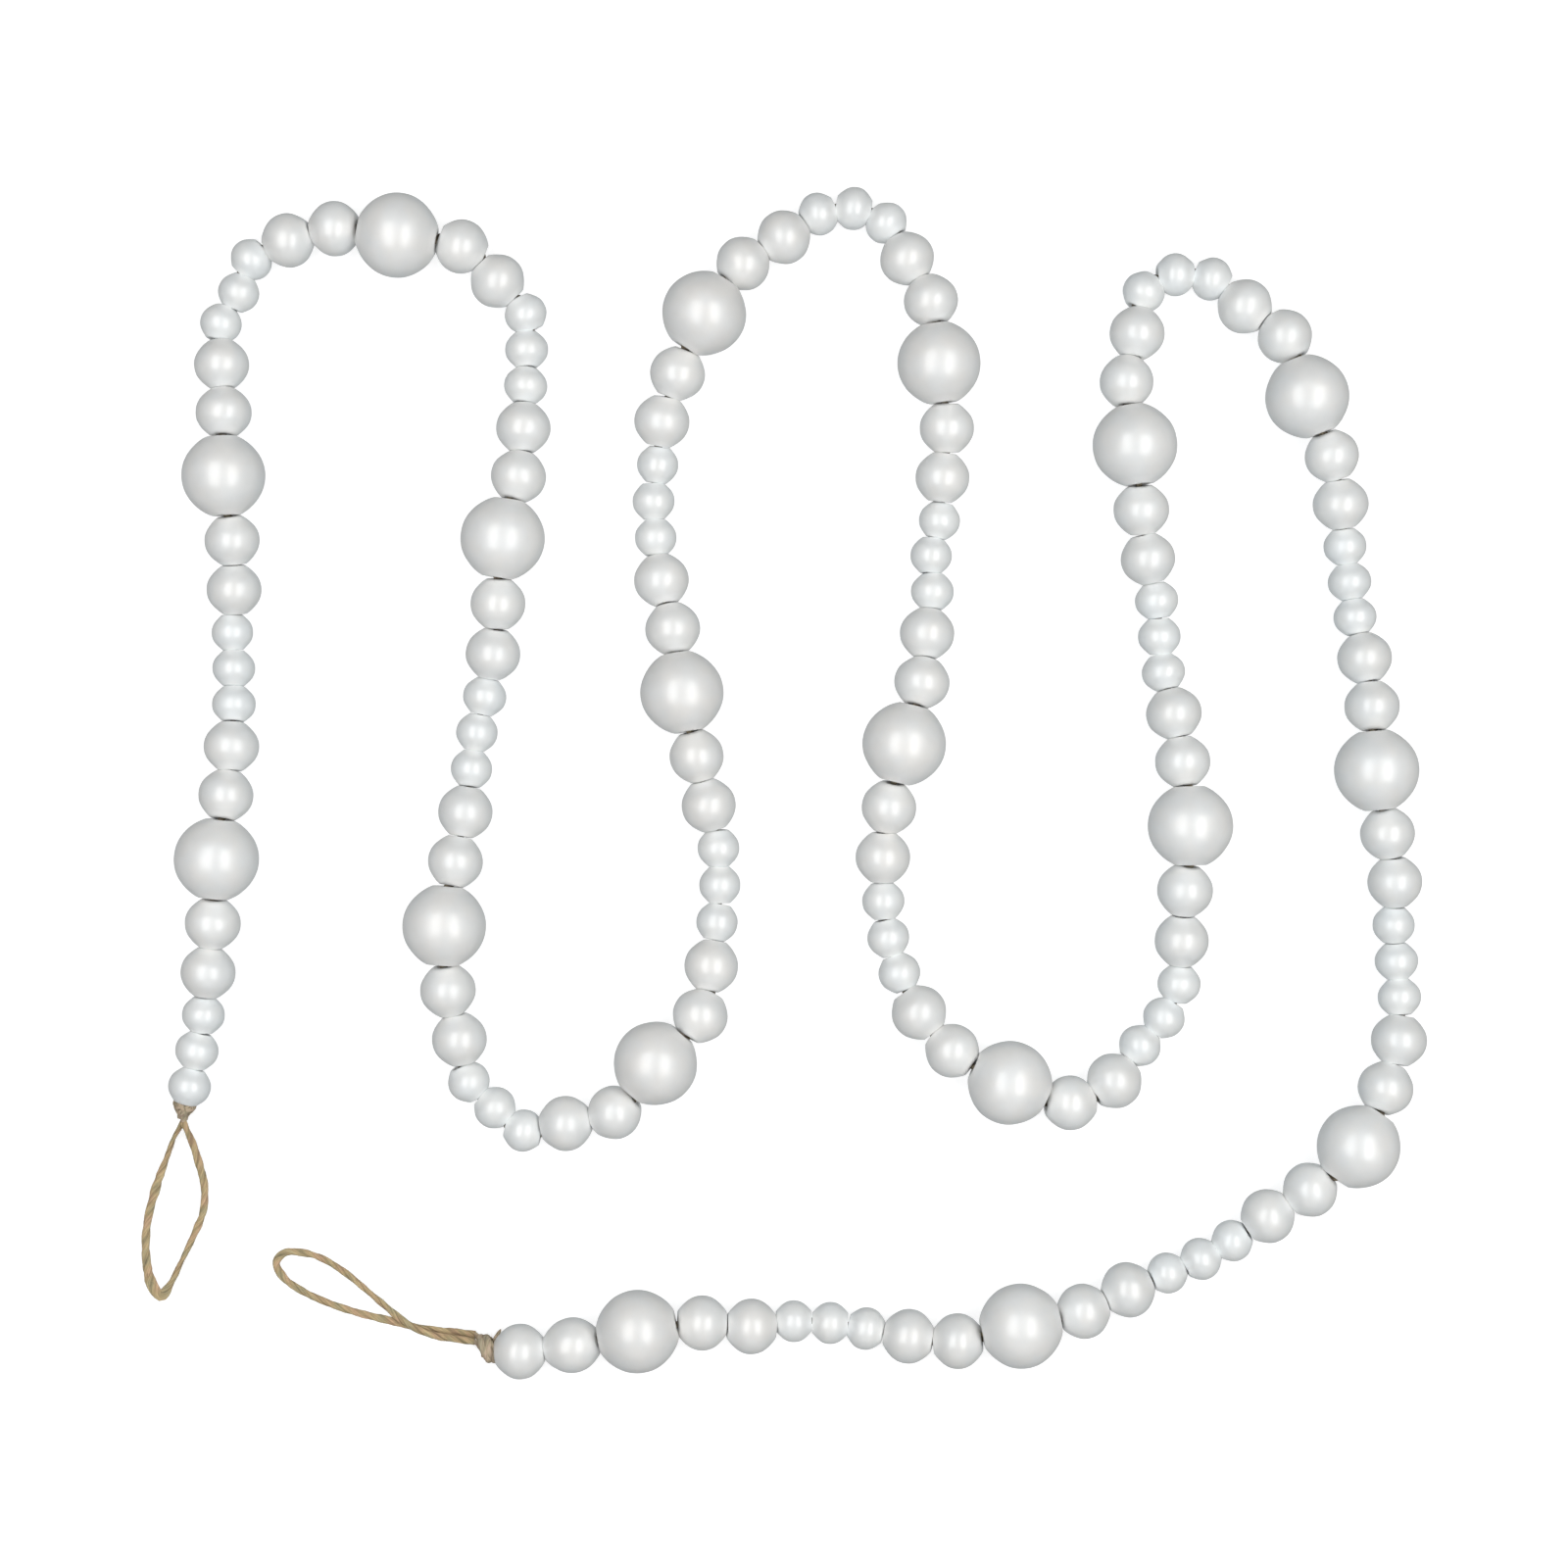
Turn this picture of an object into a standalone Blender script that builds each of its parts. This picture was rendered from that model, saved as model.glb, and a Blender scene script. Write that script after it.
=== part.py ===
"""Wood bead garland, laid out in a serpentine on a floor.

White painted wooden beads in three sizes are threaded on jute twine in a repeating order. The twine
is knotted at both ends of the beads and goes on as a hanging loop at each end.

Frame: metres, +Z up, floor at z = 0, origin under the middle of the beads, +X to the right of the
layout, +Y to its far side. The first bead is at the lower left.
"""

import math
from collections import namedtuple

import bmesh
import bpy
from mathutils import Vector

MM = 0.001

# Beads: each is a ball cut flat where the thread hole comes out
Bead = namedtuple("Bead", "diameter length")
LARGE = Bead(diameter=30.4 * MM, length=28.4 * MM)
MEDIUM = Bead(diameter=20.0 * MM, length=17.8 * MM)
SMALL = Bead(diameter=15.4 * MM, length=13.0 * MM)
RUN_OF_BEADS = (MEDIUM, MEDIUM, SMALL, SMALL, SMALL, MEDIUM, MEDIUM)
BEADS_BEFORE_FIRST_LARGE = 5
BEADS_AFTER_LAST_LARGE = 2
HOLE_DIAMETER = 5.0 * MM

# A large bead's hole is higher than its neighbour's, so the neighbour is lifted off the floor
LIFT_BESIDE_LARGE = 1.5 * MM

# Beads differ a little in length, and the smaller ones take the length that fills their row
MOST_STRETCH = 1.12

# Twine
TWINE_DIAMETER = 2.3 * MM
GAP = 0.3 * MM

# Ring facets and rings: how finely the round shapes are cut
RUN_SIDES = 10
LARGE_SIDES = 14
SMALLER_BEAD_LATITUDES = (0.5, 0.0, -0.5)
LARGE_BEAD_LATITUDES = (1.0, 0.6, 0.2, -0.2, -0.6, -1.0)
FULL_WIDTH_LATITUDE = 0.2
TWINE_BEVEL_RESOLUTION = 2
TWINE_POINT_SPACING = 5.5 * MM
CURVE_STEPS = 24

SHARPEST_SMOOTH_EDGE = math.radians(50)

# Whatever comes this close to the floor rests flat on it
RESTING_DEPTH = 0.6 * MM

# Route of the beads over the floor, in millimetres. Each row starts with a large bead's centre and
# goes on with centres of smaller beads after it: about every second one, and more where it bends
FIRST_SMALLER_BEADS = ((-220, -110), (-215, -84), (-211, -51))
ROWS = (
    ((-209, -27.5), (-204.5, 12.5), (-204, 41), (-204.5, 54.5), (-203.5, 69.5), (-204, 88)),
    ((-206.5, 110.5), (-207, 133), (-208, 151), (-209, 165), (-202, 178), (-198, 189), (-184, 196), (-168, 200)),
    ((-144, 197), (-122, 194), (-108, 181), (-98, 169), (-98, 156), (-99, 128), (-100.5, 111)),
    ((-106, 88), (-108, 64.5), (-110, 46), (-116, 18), (-120, -11)),
    ((-127, -51.5), (-126, -75.5), (-122, -93), (-119, -108), (-109, -118), (-99, -126), (-83, -123), (-66, -119)),
    ((-51, -101), (-35, -84), (-31, -66), (-28, -37), (-28.5, -23.5), (-32, -8)),
    ((-41.5, 32.5), (-45, 56), (-49, 73), (-52, 101), (-50.5, 115), (-49, 130)),
    ((-33.5, 169), (-20, 187), (-5, 197), (8, 206), (20, 208), (33, 202), (40, 189), (48, 175)),
    ((51, 151), (54, 128.5), (52.5, 110), (51.5, 94.5), (48.5, 82), (49, 69), (47, 54), (45, 36)),
    ((38.5, 14), (33, -9.5), (31, -27), (33, -56), (44, -83), (57, -97.5)),
    ((76.5, -108), (99.5, -115.5), (116, -106.5), (125, -94), (133.5, -84), (138.5, -72), (139, -56), (140, -39)),
    ((141.5, -15.5), (139, 9), (136, 26), (132.5, 41), (131, 55), (130, 67.5), (126.5, 82.5)),
    ((121.5, 121.5), (119, 146), (123, 163), (125, 177), (137, 184), (151, 182), (162, 172), (176.5, 160.5)),
    ((183.5, 139), (193, 118), (200, 73), (202, 60), (205, 45.5), (207.5, 28)),
    ((208.5, 4.5), (213, -18), (216, -36), (216, -51), (217, -64), (217.5, -93)),
    ((202, -131), (185, -147), (169.5, -157), (156.5, -166.5), (146, -172.5), (119, -183.5), (102.5, -191)),
    ((80.5, -195.5), (58, -201.5), (40, -200), (11, -195.5), (-2, -195), (-17, -196.5), (-35, -195)),
    ((-57.5, -197.5), (-81, -203)),
)
LAST_SMALLER_BEAD = (-100.2, -205.5)
START_KNOT_PLACE = (-222, -119)
END_KNOT_PLACE = (-112, -204)

# Twine loops: places in millimetres along the middle of the twine, from the knot and back to it
START_LOOP = (
    (-222.2, -122.6, 8.8),
    (-221.2, -125.5, 7.6),
    (-219.6, -131.0, 4.2),
    (-217.8, -138.5, 1.6),
    (-215.9, -146.7, 1.2),
    (-216.3, -156.0, 1.2),
    (-219.6, -164.6, 1.2),
    (-224.4, -174.8, 1.2),
    (-228.2, -182.5, 1.2),
    (-231.8, -186.9, 1.2),
    (-235.1, -182.6, 1.2),
    (-237.1, -172.8, 1.2),
    (-236.7, -160.6, 1.2),
    (-233.2, -146.5, 1.2),
    (-229.4, -136.3, 1.6),
    (-226.4, -128.9, 3.4),
    (-223.8, -124.8, 5.6),
    (-222.8, -122.6, 6.0),
)
END_LOOP = (
    (-116.7, -200.1, 6.8),
    (-120.2, -199.9, 5.0),
    (-125.6, -199.8, 2.6),
    (-131.6, -199.3, 1.3),
    (-140.0, -198.0, 1.2),
    (-147.9, -196.0, 1.2),
    (-159.7, -193.1, 1.2),
    (-170.1, -189.7, 1.2),
    (-180.2, -185.1, 1.2),
    (-186.9, -180.3, 1.2),
    (-189.7, -174.8, 1.2),
    (-186.7, -171.2, 1.2),
    (-180.4, -171.1, 1.2),
    (-173.3, -173.1, 1.2),
    (-164.6, -178.4, 1.2),
    (-156.4, -185.1, 1.3),
    (-149.3, -190.9, 2.2),
    (-144.5, -194.7, 3.4),
    (-139.9, -197.6, 3.9),
    (-134.8, -200.0, 3.8),
    (-129.8, -201.2, 4.2),
    (-124.7, -201.6, 6.0),
    (-120.0, -201.9, 8.2),
    (-116.7, -202.2, 9.5),
)

# Knots: distance from the bead, shift sideways and up, half width, half height, all in millimetres,
# and how far the ring leans over, as a slope
KnotRing = namedtuple("KnotRing", "distance sideways up half_width half_height lean")
START_KNOT = (
    KnotRing(0.3, 0.0, 0.0, 3.4, 3.4, 0.0),
    KnotRing(1.3, 0.0, 0.0, 3.9, 3.8, 0.0),
    KnotRing(3.4, 0.1, 0.0, 2.8, 3.3, 0.0),
    KnotRing(5.2, 0.1, 0.0, 1.7, 2.8, 0.0),
)
END_KNOT = (
    KnotRing(0.4, 0.6, 0.0, 4.2, 3.6, 0.0),
    KnotRing(1.7, 1.1, 0.0, 5.2, 4.1, 0.2),
    KnotRing(4.0, 1.3, 0.0, 5.2, 4.0, 0.3),
    KnotRing(5.2, 2.0, -0.3, 4.1, 3.2, 0.3),
    KnotRing(5.9, 2.6, -1.0, 2.4, 2.2, 0.1),
)
KNOT_SIDES = 10

Threaded = namedtuple("Threaded", "bead centre axis length")


def clear_scene():
    for thing in list(bpy.data.objects):
        bpy.data.objects.remove(thing, do_unlink=True)


def make_material(name, colour, roughness):
    material = bpy.data.materials.new(name)
    material.use_nodes = True
    shader = material.node_tree.nodes["Principled BSDF"]
    shader.inputs["Base Color"].default_value = (*colour, 1.0)
    shader.inputs["Roughness"].default_value = roughness
    shader.inputs["Metallic"].default_value = 0.0
    return material


def smooth_curve(places):
    """A fine line through the places: a centripetal Catmull-Rom curve, so it has no loops or kinks."""
    places = [Vector(place) for place in places]
    before = 2 * places[0] - places[1]
    after = 2 * places[-1] - places[-2]
    knots = [before, *places, after]
    line = []
    for first, start, end, last in zip(knots, knots[1:], knots[2:], knots[3:]):
        at_start = (start - first).length ** 0.5
        at_end = at_start + (end - start).length ** 0.5
        at_last = at_end + (last - end).length ** 0.5
        for step in range(CURVE_STEPS):
            now = at_start + (at_end - at_start) * step / CURVE_STEPS
            a = first.lerp(start, now / at_start)
            b = start.lerp(end, (now - at_start) / (at_end - at_start))
            c = end.lerp(last, (now - at_end) / (at_last - at_end))
            d = a.lerp(b, now / at_end)
            e = b.lerp(c, (now - at_start) / (at_last - at_start))
            line.append(d.lerp(e, (now - at_start) / (at_end - at_start)))
    line.append(places[-1])
    return line


def distances_along(line):
    total = 0.0
    distances = [total]
    for start, end in zip(line, line[1:]):
        total += (end - start).length
        distances.append(total)
    return distances


def place_at(line, distances, distance):
    """The point at this distance along the line; past either end it goes straight on."""
    index = 1
    while index < len(line) - 1 and distances[index] < distance:
        index += 1
    share = (distance - distances[index - 1]) / (distances[index] - distances[index - 1])
    return line[index - 1].lerp(line[index], share)


def resting_height(order, index):
    """Height of a bead's centre: each rests on the floor, but for those beside a large bead."""
    bead = order[index]
    beside = order[max(index - 1, 0)], order[min(index + 1, len(order) - 1)]
    lift = LIFT_BESIDE_LARGE if bead is MEDIUM and LARGE in beside else 0.0
    return bead.diameter / 2 + lift


def stretch_between(order, here, there, way):
    """How far the smaller beads between two placed ones are stretched to fill the way."""
    room = way - GAP * (there - here) - (order[here].length + order[there].length) / 2
    return room / sum(bead.length for bead in order[here + 1 : there])


def knot_centre(place, beside):
    """A knot's middle, as high as the hole of the bead beside it."""
    return Vector((place[0] * MM, place[1] * MM, beside.z))


def thread_beads():
    """Every bead in its order on the twine, with its place, the direction of its hole and its length."""
    order = list(RUN_OF_BEADS[-BEADS_BEFORE_FIRST_LARGE:])
    for row in ROWS[:-1]:
        order += [LARGE, *RUN_OF_BEADS]
    order += [LARGE, *RUN_OF_BEADS[:BEADS_AFTER_LAST_LARGE]]
    placed = [0, *(index for index, bead in enumerate(order) if bead is LARGE), len(order) - 1]

    route = list(FIRST_SMALLER_BEADS)
    route_places = [0]
    for row in ROWS:
        route_places.append(len(route))
        route.extend(row)
    route_places.append(len(route))
    route.append(LAST_SMALLER_BEAD)
    line = smooth_curve([(x * MM, y * MM) for x, y in route])
    distances = distances_along(line)
    ways = [distances[place * CURVE_STEPS] for place in route_places]

    # The first, the last and every large bead are where the route has them, and the others fill the way
    along = [ways[0]]
    lengths = [order[0].length]
    for here, there, start, end in zip(placed, placed[1:], ways, ways[1:]):
        stretch = stretch_between(order, here, there, end - start)
        travelled = start + order[here].length / 2
        for bead in order[here + 1 : there]:
            along.append(travelled + GAP + bead.length * stretch / 2)
            lengths.append(bead.length * min(stretch, MOST_STRETCH))
            travelled += GAP + bead.length * stretch
        along.append(end)
        lengths.append(order[there].length)

    centres = []
    for index, distance in enumerate(along):
        place = place_at(line, distances, distance)
        centres.append(Vector((place.x, place.y, resting_height(order, index))))

    # A hole points from the bead before to the bead after, or to the knot
    before = [knot_centre(START_KNOT_PLACE, centres[0]), *centres[:-1]]
    after = [*centres[1:], knot_centre(END_KNOT_PLACE, centres[-1])]
    axes = [(far - near).normalized() for near, far in zip(before, after)]
    return [Threaded(*values) for values in zip(order, centres, axes, lengths)]


def mouth_radius(threaded):
    """Radius of the flat where the thread hole comes out."""
    return math.sqrt((threaded.bead.diameter / 2) ** 2 - (threaded.bead.length / 2) ** 2)


def ring(centre, axis, half_width, half_height, sides):
    """Points round the axis, with a level facet at the bottom."""
    across = Vector((0.0, 0.0, 1.0)).cross(axis).normalized()
    up = axis.cross(across)
    points = []
    for side in range(sides):
        angle = (side + 0.5) * math.tau / sides - math.pi / 2
        point = centre + across * half_width * math.cos(angle) + up * half_height * math.sin(angle)
        if point.z < RESTING_DEPTH:
            point.z = 0.0
        points.append(point)
    return points


def ball_ring(threaded, latitude, sides):
    """A ring of the bead's round outside; latitude 1 is the mouth at the far end, 0 the middle."""
    radius = threaded.bead.diameter / 2
    angle = math.asin(threaded.bead.length / threaded.bead.diameter) * latitude
    along = math.sin(angle) * radius * threaded.length / threaded.bead.length
    around = radius if abs(latitude) <= FULL_WIDTH_LATITUDE else math.cos(angle) * radius
    return ring(threaded.centre + threaded.axis * along, threaded.axis, around, around, sides)


def add_object(name, rings, material, closed_round=False):
    """One body from a row of rings: capped at both ends, or joined to itself as a bored bead is."""
    work = bmesh.new()
    rows = []
    for points in rings:
        rows.append([work.verts.new(point) for point in points])
    pairs = list(zip(rows, rows[1:]))
    if closed_round:
        pairs.append((rows[-1], rows[0]))
    else:
        work.faces.new(reversed(rows[0]))
        work.faces.new(rows[-1])
    for lower, upper in pairs:
        for side in range(len(lower)):
            following = (side + 1) % len(lower)
            work.faces.new((lower[side], lower[following], upper[following], upper[side]))
    bmesh.ops.recalc_face_normals(work, faces=work.faces)
    mesh = bpy.data.meshes.new(name)
    work.to_mesh(mesh)
    work.free()
    mesh.shade_smooth()
    mesh.set_sharp_from_angle(angle=SHARPEST_SMOOTH_EDGE)
    mesh.materials.append(material)
    piece = bpy.data.objects.new(name, mesh)
    bpy.context.scene.collection.objects.link(piece)
    return piece


def add_large_bead(name, threaded, material):
    """A large bead with its thread hole bored through. Its middle band is full width, to rest on."""
    rings = [ball_ring(threaded, latitude, LARGE_SIDES) for latitude in LARGE_BEAD_LATITUDES]
    for way in (-1, 1):
        centre = threaded.centre + threaded.axis * way * threaded.length / 2
        rings.append(ring(centre, threaded.axis, HOLE_DIAMETER / 2, HOLE_DIAMETER / 2, LARGE_SIDES))
    return add_object(name, rings, material, closed_round=True)


def end_ring(threaded, large, way):
    """The run's last ring beside a large bead, parallel to that bead's flat and a gap away from it."""
    flat = large.centre - large.axis * way * (large.length / 2 + GAP)
    mouth = threaded.centre + threaded.axis * way * threaded.length / 2
    mouth += large.axis * (flat - mouth).dot(large.axis)
    return ring(mouth, large.axis, mouth_radius(threaded), mouth_radius(threaded), RUN_SIDES)


def waist_ring(threaded, following):
    """The ring that two smaller beads share where they are pulled together."""
    mouth = threaded.centre + threaded.axis * threaded.length / 2
    following_mouth = following.centre - following.axis * following.length / 2
    axis = (threaded.axis + following.axis).normalized()
    radius = (mouth_radius(threaded) + mouth_radius(following)) / 2
    return ring((mouth + following_mouth) / 2, axis, radius, radius, RUN_SIDES)


def free_ring(threaded, way):
    """The flat of the first or the last bead of all, beside its knot."""
    mouth = threaded.centre + threaded.axis * way * threaded.length / 2
    return ring(mouth, threaded.axis, mouth_radius(threaded), mouth_radius(threaded), RUN_SIDES)


def add_run(name, beads, large_before, large_after, material):
    """A run of smaller beads pulled tight on the twine, which goes on through the next large bead."""
    rings = []
    if large_before:
        rings.append(end_ring(beads[0], large_before, -1))
    else:
        rings.append(free_ring(beads[0], -1))
    for index, threaded in enumerate(beads):
        for latitude in reversed(SMALLER_BEAD_LATITUDES):
            rings.append(ball_ring(threaded, latitude, RUN_SIDES))
        if index < len(beads) - 1:
            rings.append(waist_ring(threaded, beads[index + 1]))
    if large_after:
        rings.append(end_ring(beads[-1], large_after, 1))
        radius = TWINE_DIAMETER / 2
        for along in (-large_after.length / 2 - GAP, large_after.length / 2):
            centre = large_after.centre + large_after.axis * along
            rings.append(ring(centre, large_after.axis, radius, radius, RUN_SIDES))
    else:
        rings.append(free_ring(beads[-1], 1))
    return add_object(name, rings, material)


def add_knot(name, threaded, way, knot_rings, material):
    """The knot that keeps the beads on, against the flat of the first or the last bead."""
    outwards = threaded.axis * way
    across = Vector((0.0, 0.0, 1.0)).cross(outwards).normalized()
    rings = []
    for part in knot_rings:
        centre = threaded.centre + outwards * (threaded.length / 2 + part.distance * MM)
        centre += Vector((0.0, 0.0, part.up * MM)) - across * part.sideways * MM
        axis = (outwards + across * part.lean).normalized()
        rings.append(ring(centre, axis, part.half_width * MM, part.half_height * MM, KNOT_SIDES))
    return add_object(name, rings, material)


def add_twine_loop(name, places, material):
    line = smooth_curve([[number * MM for number in place] for place in places])
    distances = distances_along(line)
    steps = round(distances[-1] / TWINE_POINT_SPACING)
    curve = bpy.data.curves.new(name, "CURVE")
    curve.dimensions = "3D"
    curve.bevel_depth = TWINE_DIAMETER / 2
    curve.bevel_resolution = TWINE_BEVEL_RESOLUTION
    curve.use_fill_caps = True
    spline = curve.splines.new("POLY")
    spline.points.add(steps)
    for step in range(steps + 1):
        point = place_at(line, distances, distances[-1] * step / steps)
        spline.points[step].co = (*point, 1.0)
    spline.use_smooth = True
    curve.materials.append(material)
    piece = bpy.data.objects.new(name, curve)
    bpy.context.scene.collection.objects.link(piece)
    return piece


def build_garland():
    paint = make_material("white_bead_paint", (0.80, 0.81, 0.80), 0.38)
    twine = make_material("jute_twine", (0.46, 0.33, 0.18), 0.85)
    beads = thread_beads()

    runs = [[]]
    large_beads = []
    for threaded in beads:
        if threaded.bead is LARGE:
            large_beads.append(threaded)
            runs.append([])
        else:
            runs[-1].append(threaded)

    for number, threaded in enumerate(large_beads, start=1):
        add_large_bead(f"large_bead_{number:02d}", threaded, paint)
    for number, (run, before, after) in enumerate(
        zip(runs, [None, *large_beads], [*large_beads, None])
    ):
        add_run(f"bead_run_{number:02d}", run, before, after, paint)

    add_knot("knot_start", beads[0], -1, START_KNOT, twine)
    add_knot("knot_end", beads[-1], 1, END_KNOT, twine)
    add_twine_loop("twine_loop_start", START_LOOP, twine)
    add_twine_loop("twine_loop_end", END_LOOP, twine)


clear_scene()
build_garland()
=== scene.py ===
"""Looks of a wood bead garland that is laid out in a serpentine, in metres and in its solids' frame.

White painted beads in three sizes are threaded on jute twine, which ends in a knot and a hanging loop at
each end. The camera and the two loops come first, then the beads, the string, the knots and the room.
"""

import math
from collections import namedtuple

import bpy
import numpy
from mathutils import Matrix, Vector


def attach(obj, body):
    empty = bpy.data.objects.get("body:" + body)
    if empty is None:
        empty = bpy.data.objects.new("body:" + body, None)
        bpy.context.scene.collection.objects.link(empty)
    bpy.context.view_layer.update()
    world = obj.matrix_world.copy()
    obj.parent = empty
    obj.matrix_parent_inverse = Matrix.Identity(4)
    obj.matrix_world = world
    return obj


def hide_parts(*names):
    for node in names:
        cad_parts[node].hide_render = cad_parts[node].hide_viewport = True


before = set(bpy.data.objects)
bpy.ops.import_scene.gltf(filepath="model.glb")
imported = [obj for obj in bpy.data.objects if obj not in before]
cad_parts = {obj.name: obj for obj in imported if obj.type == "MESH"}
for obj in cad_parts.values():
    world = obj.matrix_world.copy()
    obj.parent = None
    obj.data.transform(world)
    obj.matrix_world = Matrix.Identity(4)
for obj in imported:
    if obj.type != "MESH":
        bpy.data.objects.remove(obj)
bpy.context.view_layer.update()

# Camera
# It looks straight down on the layout from above its middle, so near that the outer beads are seen a
# little from the side.
MM = 0.001
CAMERA_PLACE = (-4.74 * MM, -0.45 * MM, 1.2)
WIDTH_OF_FLOOR_IN_VIEW = 571.5 * MM
SENSOR_WIDTH = 36.0

camera_data = bpy.data.cameras.new("camera")
camera_data.sensor_width = SENSOR_WIDTH
camera_data.lens = SENSOR_WIDTH * CAMERA_PLACE[2] / WIDTH_OF_FLOOR_IN_VIEW
camera = bpy.data.objects.new("camera", camera_data)
camera.location = CAMERA_PLACE
bpy.context.scene.collection.objects.link(camera)
bpy.context.scene.camera = camera

# Hanging loop at the first bead
# The end of the jute twine, turned back on itself and tied in below the first bead. It is loosely twisted
# from two plies, so it lies flat in some places and on its edge in others. It has kept a sharp fold.
TWINE_DIAMETER = 2.3 * MM
TALLEST_TWINE = 2.3 * MM
PLAIN_TWINE_HEIGHT = 2.0 * MM
# Its width times its height, which stays the same where it is pressed flat
TWINE_SECTION = 4.1 * MM * MM
UP = Vector((0.0, 0.0, 1.0))
TwineSpot = namedtuple("TwineSpot", "place sideways width height")
CURVE_STEPS = 24
PATH_SPACING = 1.0 * MM
START_LOOP = (
    (-222.2, -122.6, 8.8),
    (-221.2, -125.5, 7.6),
    (-219.6, -131.0, 4.2),
    (-217.8, -138.5, 1.6),
    (-215.9, -146.7, 1.2),
    (-216.3, -156.0, 1.2),
    (-219.6, -164.6, 1.2),
    (-224.4, -174.8, 1.2),
    (-228.2, -182.5, 1.2),
    (-231.8, -186.9, 1.2),
    (-235.1, -182.6, 1.2),
    (-237.1, -172.8, 1.2),
    (-236.7, -160.6, 1.2),
    (-233.2, -146.5, 1.2),
    (-229.4, -136.3, 1.6),
    (-226.4, -128.9, 3.4),
    (-223.8, -124.8, 5.6),
    (-222.8, -122.6, 6.0),
)
START_WIDTHS = (2.6, 2.4, 2.9, 3.1, 2.9, 2.8, 2.6, 1.9, 2.5, 4.6, 4.2, 3.2, 3.0, 3.5, 2.1, 1.8, 1.8, 2.2)


def smooth_curve(places):
    """A fine line through the places: a centripetal Catmull-Rom curve, so it has no loops or kinks."""
    places = [Vector(place) for place in places]
    before = 2 * places[0] - places[1]
    after = 2 * places[-1] - places[-2]
    knots = [before, *places, after]
    line = []
    for first, start, end, last in zip(knots, knots[1:], knots[2:], knots[3:]):
        at_start = (start - first).length ** 0.5
        at_end = at_start + (end - start).length ** 0.5
        at_last = at_end + (last - end).length ** 0.5
        for turn in range(CURVE_STEPS):
            now = at_start + (at_end - at_start) * turn / CURVE_STEPS
            a = first.lerp(start, now / at_start)
            b = start.lerp(end, (now - at_start) / (at_end - at_start))
            c = end.lerp(last, (now - at_end) / (at_last - at_end))
            d = a.lerp(b, now / at_end)
            e = b.lerp(c, (now - at_start) / (at_last - at_start))
            line.append(d.lerp(e, (now - at_start) / (at_end - at_start)))
    line.append(places[-1])
    return line


def distances_along(line):
    total = 0.0
    distances = [total]
    for start, end in zip(line, line[1:]):
        total += (end - start).length
        distances.append(total)
    return distances


def place_at(line, distances, distance):
    """The point at this distance along the line; past either end it goes straight on."""
    index = 1
    while index < len(line) - 1 and distances[index] < distance:
        index += 1
    share = (distance - distances[index - 1]) / (distances[index] - distances[index - 1])
    return line[index - 1].lerp(line[index], share)


def even_path(places):
    """Points at an even spacing along the smooth curve through the places."""
    line = smooth_curve(places)
    distances = distances_along(line)
    steps = round(distances[-1] / PATH_SPACING)
    return [place_at(line, distances, distances[-1] * index / steps) for index in range(steps + 1)]


def in_metres(places):
    return [Vector(place) * MM for place in places]


def onwards_at(path, index):
    """The direction of the path at one of its points."""
    return (path[min(index + 1, len(path) - 1)] - path[max(index - 1, 0)]).normalized()


def plain_twine(path, width=TWINE_DIAMETER, height=PLAIN_TWINE_HEIGHT):
    """Twine of one width along the path, with its wide side level."""
    spots = []
    for index, place in enumerate(path):
        spots.append(TwineSpot(place, onwards_at(path, index).cross(UP).normalized(), width, height))
    return spots


def lying_twine(places, widths):
    """Twine on the floor that is as wide as noted at the places, and taller where it is narrow."""
    line = smooth_curve(places)
    distances = distances_along(line)
    path = even_path(places)
    spots = []
    for index, place in enumerate(path):
        distance = distances[-1] * index / (len(path) - 1)
        width = float(numpy.interp(distance, distances[::CURVE_STEPS], widths)) * MM
        height = min(TWINE_SECTION / width, TALLEST_TWINE)
        lowered = place + UP * (height - TWINE_DIAMETER) / 2
        spots.append(TwineSpot(lowered, onwards_at(path, index).cross(UP).normalized(), width, height))
    return spots


def twine_mesh(*strands):
    """The strands' spots as loose edges that note how the twine lies, for the recipe to lay it along."""
    mesh = bpy.data.meshes.new("strands")
    spots = [spot for strand in strands for spot in strand]
    edges = []
    first = 0
    for strand in strands:
        edges += [(first + index, first + index + 1) for index in range(len(strand) - 1)]
        first += len(strand)
    mesh.from_pydata([spot.place for spot in spots], edges, [])
    mesh.attributes.new("sideways", "FLOAT_VECTOR", "POINT")
    mesh.attributes.new("width", "FLOAT", "POINT")
    mesh.attributes.new("height", "FLOAT", "POINT")
    for index, spot in enumerate(spots):
        mesh.attributes["sideways"].data[index].vector = spot.sideways
        mesh.attributes["width"].data[index].value = spot.width
        mesh.attributes["height"].data[index].value = spot.height
    return mesh


def in_use(sockets, name):
    """The socket of this name or number that the node's settings leave in use."""
    if isinstance(name, int):
        return sockets[name]
    return next(socket for socket in sockets if socket.name == name and socket.enabled)


def step(tree, kind, values=None, output=None, **settings):
    """Adds a node with its settings and its inputs' values or links, and gives the output asked for."""
    node = tree.nodes.new(kind)
    for name, value in settings.items():
        setattr(node, name, value)
    for name, value in (values or {}).items():
        if isinstance(value, bpy.types.NodeSocket):
            tree.links.new(value, in_use(node.inputs, name))
        else:
            in_use(node.inputs, name).default_value = value
    if output is None:
        return next(socket for socket in node.outputs if socket.enabled)
    return in_use(node.outputs, output)


def maths(tree, operation, *values):
    return step(tree, "ShaderNodeMath", dict(enumerate(values)), operation=operation)


def vectors(tree, operation, *values):
    return step(tree, "ShaderNodeVectorMath", dict(enumerate(values)), operation=operation)


def scaled(tree, vector, factor):
    return step(tree, "ShaderNodeVectorMath", {"Vector": vector, "Scale": factor}, operation="SCALE")


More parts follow.
